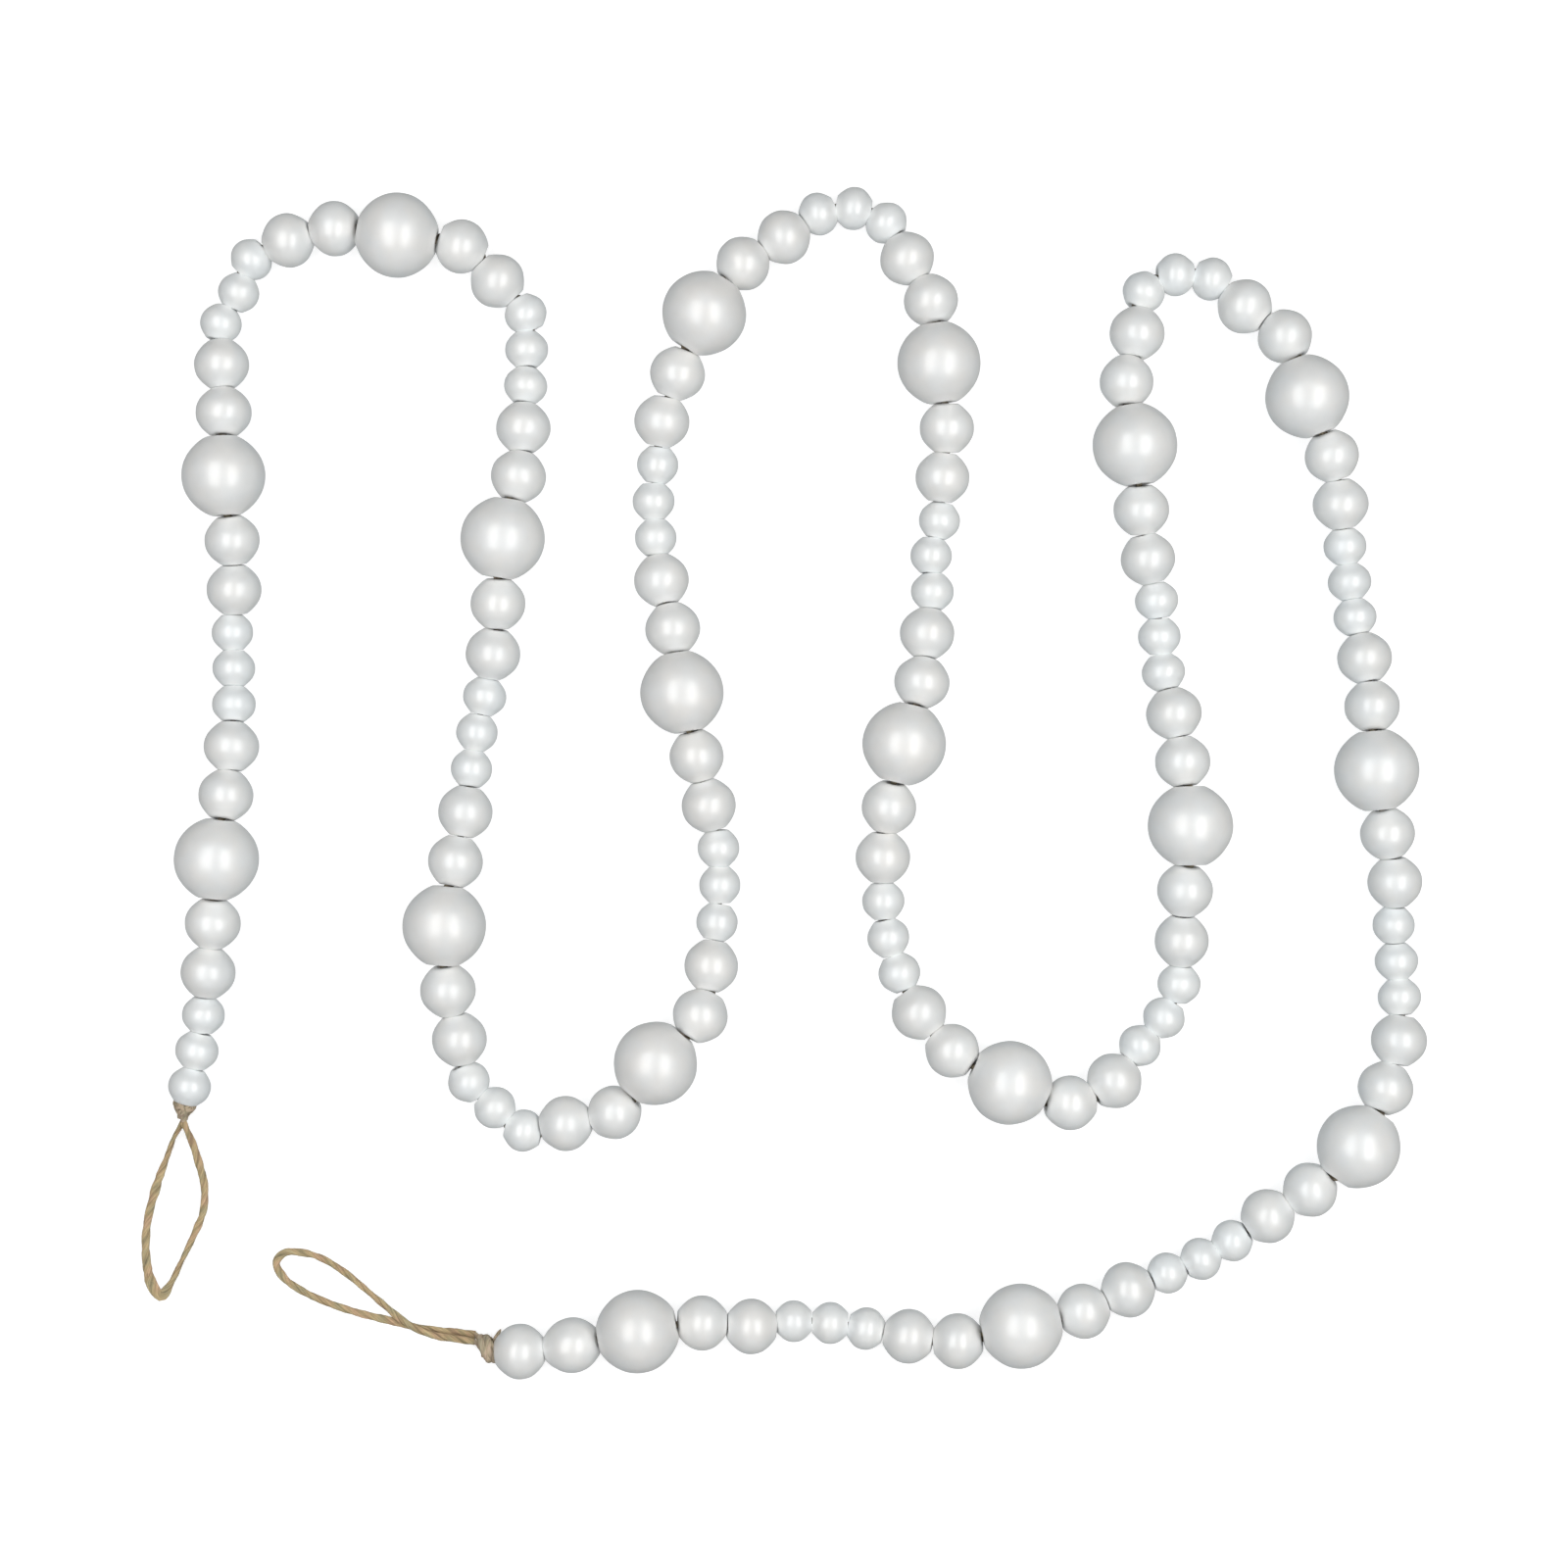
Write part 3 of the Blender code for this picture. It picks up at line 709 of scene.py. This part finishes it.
def strung(tree, given, bead):
    """A bead on every point, turned round its hole, tilted a little and wider or narrower by chance."""
    minus_tilt = maths(tree, "MULTIPLY", given["Tilt"], -1.0)
    least = step(tree, "ShaderNodeCombineXYZ", {"X": minus_tilt, "Y": minus_tilt, "Z": -math.pi})
    most = step(tree, "ShaderNodeCombineXYZ", {"X": given["Tilt"], "Y": given["Tilt"], "Z": math.pi})
    values = {"Min": least, "Max": most, "Seed": given["Seed"]}
    chance = step(tree, "FunctionNodeRandomValue", values, data_type="FLOAT_VECTOR")
    chance = step(tree, "FunctionNodeEulerToRotation", {"Euler": chance})
    direction = noted(tree, "direction", "FLOAT_VECTOR")
    aligned = step(tree, "FunctionNodeAlignRotationToVector", {"Vector": direction}, axis="Z")
    values = {"Rotation": aligned, "Rotate By": chance}
    rotation = step(tree, "FunctionNodeRotateRotation", values, rotation_space="LOCAL")
    chance_seed = maths(tree, "ADD", given["Seed"], 1.0)
    values = {"Min": given["Narrowest"], "Max": given["Widest"], "Seed": chance_seed}
    width = step(tree, "FunctionNodeRandomValue", values, data_type="FLOAT")
    scale = step(tree, "ShaderNodeCombineXYZ", {"X": width, "Y": width, "Z": noted(tree, "stretch")})
    values = {"Points": given["Geometry"], "Instance": bead, "Rotation": rotation, "Scale": scale}
    string = step(tree, "GeometryNodeInstanceOnPoints", values)
    values = {"Min": 0.0, "Max": 1.0, "Seed": maths(tree, "ADD", given["Seed"], 2.0)}
    shade = step(tree, "FunctionNodeRandomValue", values, data_type="FLOAT")
    string = note(tree, string, "shade", shade, domain="INSTANCE")
    return step(tree, "GeometryNodeRealizeInstances", {"Geometry": string})


def a_little_uneven(tree, given, string):
    """The beads as they come from the lathe, where none gets quite round."""
    elsewhere = maths(tree, "MULTIPLY", noted(tree, "shade"), APART)
    own_size = maths(tree, "DIVIDE", MM, given["Diameter"])
    spot = scaled(tree, noted(tree, "own_place", "FLOAT_VECTOR"), own_size)
    spot = vectors(tree, "ADD", spot, elsewhere)
    bump = step(tree, "ShaderNodeTexNoise", {"Vector": spot, "Scale": LUMPS_ON_BEAD, "Detail": 1.0})
    bump = maths(tree, "MULTIPLY", maths(tree, "SUBTRACT", bump, 0.5), given["Unevenness"])
    offset = scaled(tree, step(tree, "GeometryNodeInputNormal"), bump)
    return step(tree, "GeometryNodeSetPosition", {"Geometry": string, "Offset": offset})


def bead_recipe():
    """A turned and bored bead on every point, in the direction and at the stretch that the point notes."""
    tree, given = new_recipe(
        "turned_bead",
        Diameter="Float",
        Length="Float",
        Hole="Float",
        Shoulder="Float",
        Unevenness="Float",
        Rings="Int",
        Sides="Int",
        Narrowest="Float",
        Widest="Float",
        Tilt="Float",
        Seed="Int",
        Paint="Material",
    )
    string = strung(tree, given, turned_and_bored(tree, given))
    return end_recipe(tree, a_little_uneven(tree, given, string), given["Paint"])


def pearly_paint(name, bead, colour, coat_roughness):
    """Satin white paint with warmer and cooler patches, and painted light that whitens it round the holes."""
    material = bpy.data.materials.new(name)
    material.use_nodes = True
    tree = material.node_tree
    shader = tree.nodes["Principled BSDF"]
    own_place = step(tree, "ShaderNodeAttribute", output="Vector", attribute_name="own_place")
    shade = step(tree, "ShaderNodeAttribute", output="Fac", attribute_name="shade")
    elsewhere = maths(tree, "MULTIPLY", shade, APART)
    spot = vectors(tree, "ADD", own_place, elsewhere)
    mottle = step(tree, "ShaderNodeTexNoise", {"Vector": spot, "Scale": PATCH_SCALE, "Detail": 3.0})
    grain = step(tree, "ShaderNodeTexNoise", {"Vector": spot, "Scale": GRAIN_SCALE, "Detail": 4.0})
    pearl_spot = vectors(tree, "ADD", spot, (PEARL_SHIFT, PEARL_SHIFT, PEARL_SHIFT))
    pearl = step(tree, "ShaderNodeTexNoise", {"Vector": pearl_spot, "Scale": PEARL_SCALE})

    warm = [colour[0] * WARM, colour[1], colour[2] / WARM]
    cool = [colour[0] / WARM, colour[1], colour[2] * WARM]
    ramp = tree.nodes.new("ShaderNodeValToRGB")
    ramp.color_ramp.elements[0].position = 0.35
    ramp.color_ramp.elements[0].color = (*warm, 1.0)
    ramp.color_ramp.elements[1].position = 0.65
    ramp.color_ramp.elements[1].color = (*cool, 1.0)
    tree.links.new(pearl, ramp.inputs["Fac"])

    values = {"Value": mottle, "From Min": NOISE_LOW, "From Max": NOISE_HIGH}
    values.update({"To Min": DARKEST_PATCH, "To Max": LIGHTEST_PATCH})
    mottle_light = step(tree, "ShaderNodeMapRange", values)
    values = {"Value": shade, "To Min": DARKEST_BEAD, "To Max": LIGHTEST_BEAD}
    bead_light = step(tree, "ShaderNodeMapRange", values)
    from_middle = maths(tree, "ABSOLUTE", step(tree, "ShaderNodeSeparateXYZ", {"Vector": own_place}, "Z"))
    # Painted light that makes the colour whiter towards the mouth of each hole
    mouth = bead.length / 2 / MM
    values = {"Value": from_middle, "From Min": mouth - LIP_WIDTH, "From Max": mouth}
    values.update({"To Min": 1.0, "To Max": PAINTED_LIGHT_AT_LIP})
    painted_lip_light = step(tree, "ShaderNodeMapRange", values)
    light = maths(tree, "MULTIPLY", maths(tree, "MULTIPLY", mottle_light, bead_light), painted_lip_light)
    tree.links.new(scaled(tree, ramp.outputs["Color"], light), shader.inputs["Base Color"])
    values = {"Value": mottle, "From Min": NOISE_LOW, "From Max": NOISE_HIGH}
    values.update({"To Min": SHINIEST_PATCH, "To Max": DULLEST_PATCH})
    tree.links.new(step(tree, "ShaderNodeMapRange", values), shader.inputs["Roughness"])
    values = {"Height": grain, "Distance": 0.05 * MM, "Strength": 0.25}
    tree.links.new(step(tree, "ShaderNodeBump", values), shader.inputs["Normal"])
    shader.inputs["IOR"].default_value = 1.55
    shader.inputs["Specular IOR Level"].default_value = 0.92
    shader.inputs["Coat Weight"].default_value = 0.63
    shader.inputs["Coat Roughness"].default_value = coat_roughness
    return material


turned_bead = bead_recipe()


def add_beads(name, bead, nodes, paint, **values):
    """All beads of one size, as one piece."""
    chosen = [threaded for threaded in beads if threaded.bead is bead]
    points = bpy.data.meshes.new(name)
    points.from_pydata([threaded.centre for threaded in chosen], [], [])
    points.attributes.new("direction", "FLOAT_VECTOR", "POINT")
    points.attributes.new("stretch", "FLOAT", "POINT")
    for index, threaded in enumerate(chosen):
        points.attributes["direction"].data[index].vector = threaded.axis
        points.attributes["stretch"].data[index].value = threaded.length / bead.length
    sizes = {"Diameter": bead.diameter, "Length": bead.length, "Hole": HOLE_DIAMETER}
    piece = made_by(turned_bead, name, points, Paint=paint, **sizes, **values)
    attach(piece, "root")
    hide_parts(*nodes)


large_nodes = [name for name in sorted(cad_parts) if name.startswith("large_bead")]
LARGE_WIDTHS = {"Narrowest": 0.981, "Widest": 1.004}
LARGE_SHAPE = {"Shoulder": 0.013, "Unevenness": 0.5 * MM, "Tilt": math.radians(2.0), **LARGE_WIDTHS}
large_paint = pearly_paint("large_bead_paint", LARGE, LARGE_COLOUR, LARGE_COAT)
add_beads("large_beads", LARGE, large_nodes, large_paint, Rings=57, Sides=64, Seed=11, **LARGE_SHAPE)

# Medium beads
# The same bead at two thirds of the size. The two beside a large bead are lifted a little by the twine,
# because the large bead's hole is higher.
MEDIUM_WIDTHS = {"Narrowest": 0.969, "Widest": 1.006}
MEDIUM_SHAPE = {"Shoulder": 0.03, "Unevenness": 0.36 * MM, "Tilt": math.radians(3.0), **MEDIUM_WIDTHS}
MEDIUM_COLOUR = (0.795, 0.797, 0.79)
MEDIUM_COAT = 0.165
medium_paint = pearly_paint("medium_bead_paint", MEDIUM, MEDIUM_COLOUR, MEDIUM_COAT)
add_beads("medium_beads", MEDIUM, runs, medium_paint, Rings=33, Sides=40, Seed=21, **MEDIUM_SHAPE)

# Small beads
# Three in the middle of each run, half as wide as a large one and made and painted like it. Each flat is
# a ring little more than a millimetre wide round the hole.
SMALL_WIDTHS = {"Narrowest": 0.966, "Widest": 1.022}
SMALL_SHAPE = {"Shoulder": 0.04, "Unevenness": 0.28 * MM, "Tilt": math.radians(5.0), **SMALL_WIDTHS}
SMALL_COLOUR = (0.81, 0.826, 0.827)
SMALL_COAT = 0.15
small_paint = pearly_paint("small_bead_paint", SMALL, SMALL_COLOUR, SMALL_COAT)
add_beads("small_beads", SMALL, runs, small_paint, Rings=33, Sides=36, Seed=31, **SMALL_SHAPE)

# String of twine
# One length of the same twine runs through every bead, from knot to knot. It shows only in the narrow
# gaps between the beads, and its colours are darkened there with painted shade.
string_places = []
for threaded in beads:
    for way in (-1, 0, 1):
        string_places.append(threaded.centre + threaded.axis * way * threaded.length / 2)
string_strand = plain_twine(even_path(string_places))
HIDDEN_TWIST = {"Pitch": 8.5 * MM, "Groove": 0.16, "Swelling": 0.1, "Sides": 12}
# Jute colours darkened with painted shade, for the twine in the gaps
SHADED_STRING_COLOURS = ((0.19, 0.15, 0.115), (0.19, 0.16, 0.11), (0.165, 0.145, 0.1))
string_jute = jute_fibres("string_jute", *SHADED_STRING_COLOURS)
string = made_by(twine, "string", twine_mesh(string_strand), Seed=7.7, Twine=string_jute, **HIDDEN_TWIST)
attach(string, "root")
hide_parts(*runs)

# Knots
# The twine is tied in a stopper knot against the first and the last bead, in greyer colours than the
# loops. The first knot is pulled to a smooth cone, and the last is two turns side by side that lean over.
KnotRing = namedtuple("KnotRing", "distance sideways half_width half_height lean")
Turn = namedtuple("Turn", "near far turns begins near_width far_width")
Strand = namedtuple("Strand", "distance sideways up width height")
KnotSeat = namedtuple("KnotSeat", "mouth outwards across upwards")
KNOT_HEIGHT = 1.7
START_RINGS = (
    KnotRing(-0.3, 0.4, 4.5, 3.8, 0.0),
    KnotRing(0.4, 0.4, 4.5, 4.0, 0.0),
    KnotRing(1.4, 0.4, 3.9, 3.8, 0.0),
    KnotRing(3.0, 0.3, 2.8, 3.2, 0.0),
    KnotRing(4.6, 0.2, 1.9, 2.6, 0.0),
)
START_TURNS = (
    *(Turn(-0.1, 4.6, 0.3, begins, 2.7, 1.5) for begins in (0.0, 0.25, 0.5, 0.75)),
    *(Turn(-0.1, 4.6, -0.3, begins, 2.6, 1.4) for begins in (0.1, 0.35, 0.6, 0.85)),
)
START_CORE = (
    Strand(-2.0, 0.0, 0.0, 4.4, 4.4),
    Strand(0.4, -0.4, 0.0, 5.8, 5.2),
    Strand(1.2, -0.4, 0.0, 7.2, 6.4),
    Strand(2.6, -0.3, 0.0, 5.2, 5.2),
    Strand(4.3, -0.2, 0.0, 4.2, 4.4),
    Strand(5.6, -0.1, 0.0, 3.8, 3.8),
)
END_RINGS = (
    KnotRing(0.4, 0.9, 4.4, 3.6, 0.1),
    KnotRing(1.7, 1.2, 5.3, 4.2, 0.25),
    KnotRing(4.0, 1.3, 5.3, 4.2, 0.3),
    KnotRing(6.2, 2.3, 3.8, 3.0, 0.3),
)
END_TURNS = (
    Turn(near=1.5, far=1.9, turns=1.3, begins=0.6, near_width=2.6, far_width=2.6),
    Turn(near=3.6, far=4.0, turns=1.3, begins=0.1, near_width=2.6, far_width=2.6),
    Turn(near=0.6, far=5.8, turns=0.7, begins=0.3, near_width=2.4, far_width=2.0),
)
END_CORE = (
    Strand(-2.0, 0.0, 0.0, 4.2, 4.2),
    Strand(0.6, -0.7, 0.0, 7.4, 6.4),
    Strand(4.2, -1.7, 0.0, 7.0, 6.0),
    Strand(6.4, -3.4, -0.6, 3.6, 3.6),
)
END_TAIL = (
    Strand(0.9, -3.4, -0.4, 2.4, 2.0),
    Strand(0.0, -4.9, -0.8, 2.4, 1.8),
    Strand(-1.0, -6.3, -1.2, 2.3, 1.6),
    Strand(-2.1, -7.5, -1.6, 1.3, 1.0),
)
STEPS_IN_TURN = 48
SHORTEST_TURN = 0.5
INTO_HOLE = 3.0
INTO_KNOT = 1.0
INSIDE_LOOP = 0.8
KNOT_TWIST = {"Pitch": 7.0 * MM, "Groove": 0.2, "Swelling": 0.12, "Sides": 20}
GREYER_COLOURS = ((0.465, 0.355, 0.265), (0.435, 0.365, 0.25), (0.37, 0.33, 0.24))
greyer_jute = jute_fibres("greyer_jute", *GREYER_COLOURS)


def knot_seat(threaded, way):
    """The mouth of the bead's hole on this side, and the knot's directions from there."""
    outwards = threaded.axis * way
    across = UP.cross(outwards).normalized()
    mouth = threaded.centre + outwards * threaded.length / 2
    return KnotSeat(mouth, outwards, across, outwards.cross(across))


def blended(rings, distance):
    """The knot's ring at this distance, between the two rings that are noted on either side."""
    noted_at = [ring.distance for ring in rings]
    return KnotRing(*(float(numpy.interp(distance, noted_at, values)) for values in zip(*rings)))


def wound(turn, rings, seat):
    """A turn of twine that winds round the knot, over its rings."""
    places = []
    rays = []
    widths = []
    steps = round(STEPS_IN_TURN * max(abs(turn.turns), SHORTEST_TURN))
    for index in range(steps + 1):
        share = index / steps
        width = turn.near_width + (turn.far_width - turn.near_width) * share
        ring = blended(rings, turn.near + (turn.far - turn.near) * share)
        angle = math.tau * (turn.begins + turn.turns * share)
        ray = seat.across * math.cos(angle) * (ring.half_width - KNOT_HEIGHT / 2)
        ray += seat.upwards * math.sin(angle) * (ring.half_height - KNOT_HEIGHT / 2)
        centre = seat.outwards * (ring.distance - ring.lean * ring.half_width * math.cos(angle))
        centre -= seat.across * ring.sideways
        places.append(seat.mouth + (centre + ray) * MM)
        rays.append(ray)
        widths.append(width * MM)
    strand = []
    for index, place in enumerate(places):
        wide_way = onwards_at(places, index).cross(rays[index]).normalized()
        strand.append(TwineSpot(place, wide_way, widths[index], KNOT_HEIGHT * MM))
    return strand


def plain_strand(spots, seat):
    """The twine inside the knot, or its tail."""
    strand = []
    for spot in spots:
        place = seat.mouth + (seat.outwards * spot.distance + seat.across * spot.sideways + UP * spot.up) * MM
        strand.append(TwineSpot(place, seat.across, spot.width * MM, spot.height * MM))
    return strand


def end_in_knot(strand, seat):
    """The beginning of the loop's strand, which comes out of the hole and through the knot."""
    in_hole = seat.mouth - seat.outwards * INTO_HOLE * MM
    in_knot = seat.mouth + seat.outwards * INTO_KNOT * MM
    path = even_path([in_hole, in_knot, strand[0].place, strand[1].place])
    return plain_twine(path, strand[0].width * INSIDE_LOOP, strand[0].height * INSIDE_LOOP)


def add_knot(name, node, strands, seed):
    """A knot in the place of its solid, with its loose fibres."""
    piece = made_by(twine, name, twine_mesh(*strands), Seed=seed, Twine=greyer_jute, **KNOT_TWIST)
    add_fibres(name + "_fibres", piece, round(seed))
    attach(piece, "root")
    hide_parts(node)


start_seat = knot_seat(beads[0], -1)
start_strands = [wound(turn, START_RINGS, start_seat) for turn in START_TURNS]
start_strands.append(plain_strand(START_CORE, start_seat))
start_strands += [end_in_knot(strand, start_seat) for strand in (start_strand, start_strand[::-1])]
add_knot("start_knot", "knot_start", start_strands, seed=2.2)

end_seat = knot_seat(beads[-1], 1)
end_strands = [wound(turn, END_RINGS, end_seat) for turn in END_TURNS]
end_strands += [plain_strand(spots, end_seat) for spots in (END_CORE, END_TAIL)]
end_strands += [end_in_knot(strand, end_seat) for strand in (end_strand, end_strand[::-1])]
add_knot("end_knot", "knot_end", end_strands, seed=3.3)

# Floor
# A plain white table that is lit from within, so the garland casts hardly any shadow on it. It throws no
# light on the beads itself: the lower half of the room, which is bright, does that in its place.
FLOOR_HALF_WIDTH = 20.0
TABLE_COLOUR = (0.45, 0.45, 0.45, 1.0)
TABLE_GLOW = 0.75
floor_mesh = bpy.data.meshes.new("floor")
corners = [(x * FLOOR_HALF_WIDTH, y * FLOOR_HALF_WIDTH, 0.0) for x, y in ((-1, -1), (1, -1), (1, 1), (-1, 1))]
floor_mesh.from_pydata(corners, [], [(0, 1, 2, 3)])
floor = bpy.data.objects.new("floor", floor_mesh)
floor.visible_diffuse = False
floor.visible_glossy = False
floor.visible_shadow = False
bpy.context.scene.collection.objects.link(floor)
table_top = bpy.data.materials.new("table_top")
table_top.use_nodes = True
table_shader = table_top.node_tree.nodes["Principled BSDF"]
table_shader.inputs["Base Color"].default_value = TABLE_COLOUR
table_shader.inputs["Roughness"].default_value = 0.9
table_shader.inputs["Specular IOR Level"].default_value = 0.0
table_shader.inputs["Emission Color"].default_value = (1.0, 1.0, 1.0, 1.0)
table_shader.inputs["Emission Strength"].default_value = TABLE_GLOW
floor_mesh.materials.append(table_top)

# Lights
# Two large softboxes hang left and right of the camera and face down, the right one a little warmer and
# stronger, and there is a weak window beyond the near side. Two weak bluish panels hang back to back over
# the middle, edge on to the camera, and light the inner sides of the outer beads.
Lamp = namedtuple("Lamp", "name place faces width length power colour")
LAMPS = (
    Lamp("left_softbox", (-0.61, 0.07, 1.25), (0.15, -0.017, -1.25), 0.70, 1.53, 13.3, (1.0, 0.998, 0.993)),
    Lamp("right_softbox", (0.71, -0.03, 1.25), (-0.45, 0.019, -1.25), 0.72, 1.53, 15.4, (1.0, 0.993, 0.975)),
    Lamp("window", (0.0, -1.3, 0.7), (0.0, 1.3, -0.7), 0.5, 1.0, 1.0, (1.0, 1.0, 1.0)),
    Lamp("left_panel", (-0.002, 0.0, 0.3), (-1.0, 0.0, 0.0), 0.1, 0.5, 0.06, (0.0, 0.6, 1.0)),
    Lamp("right_panel", (0.002, 0.0, 0.3), (1.0, 0.0, 0.0), 0.1, 0.5, 0.1, (0.0, 0.6, 1.0)),
)
UNREFLECTED = ("left_panel", "right_panel")
for lamp in LAMPS:
    light = bpy.data.lights.new(lamp.name, "AREA")
    light.shape = "RECTANGLE"
    light.size = lamp.width
    light.size_y = lamp.length
    light.energy = lamp.power
    light.color = lamp.colour
    softbox = bpy.data.objects.new(lamp.name, light)
    softbox.location = lamp.place
    softbox.rotation_euler = Vector(lamp.faces).to_track_quat("-Z", "X").to_euler()
    softbox.visible_glossy = lamp.name not in UNREFLECTED
    bpy.context.scene.collection.objects.link(softbox)

LIGHT_FROM_BELOW = 0.474
LIGHT_FROM_ABOVE = 0.02
BACKDROP = 0.9
ROOM_COLOUR = (0.93, 0.985, 1.0, 1.0)
HORIZON_WIDTH = 0.04
world = bpy.data.worlds.new("room")
world.use_nodes = True
tree = world.node_tree
direction = step(tree, "ShaderNodeTexCoord", output="Generated")
height = step(tree, "ShaderNodeSeparateXYZ", {"Vector": direction}, "Z")
values = {"Value": height, "From Min": -HORIZON_WIDTH, "From Max": HORIZON_WIDTH}
values.update({"To Min": LIGHT_FROM_BELOW, "To Max": LIGHT_FROM_ABOVE})
brightness = step(tree, "ShaderNodeMapRange", values)
seen = step(tree, "ShaderNodeLightPath", output="Is Camera Ray")
values = {"Factor": seen, "A": brightness, "B": BACKDROP}
brightness = step(tree, "ShaderNodeMix", values)
tree.links.new(brightness, tree.nodes["Background"].inputs["Strength"])
tree.nodes["Background"].inputs["Color"].default_value = ROOM_COLOUR
bpy.context.scene.world = world
bpy.context.scene.view_settings.view_transform = "Standard"
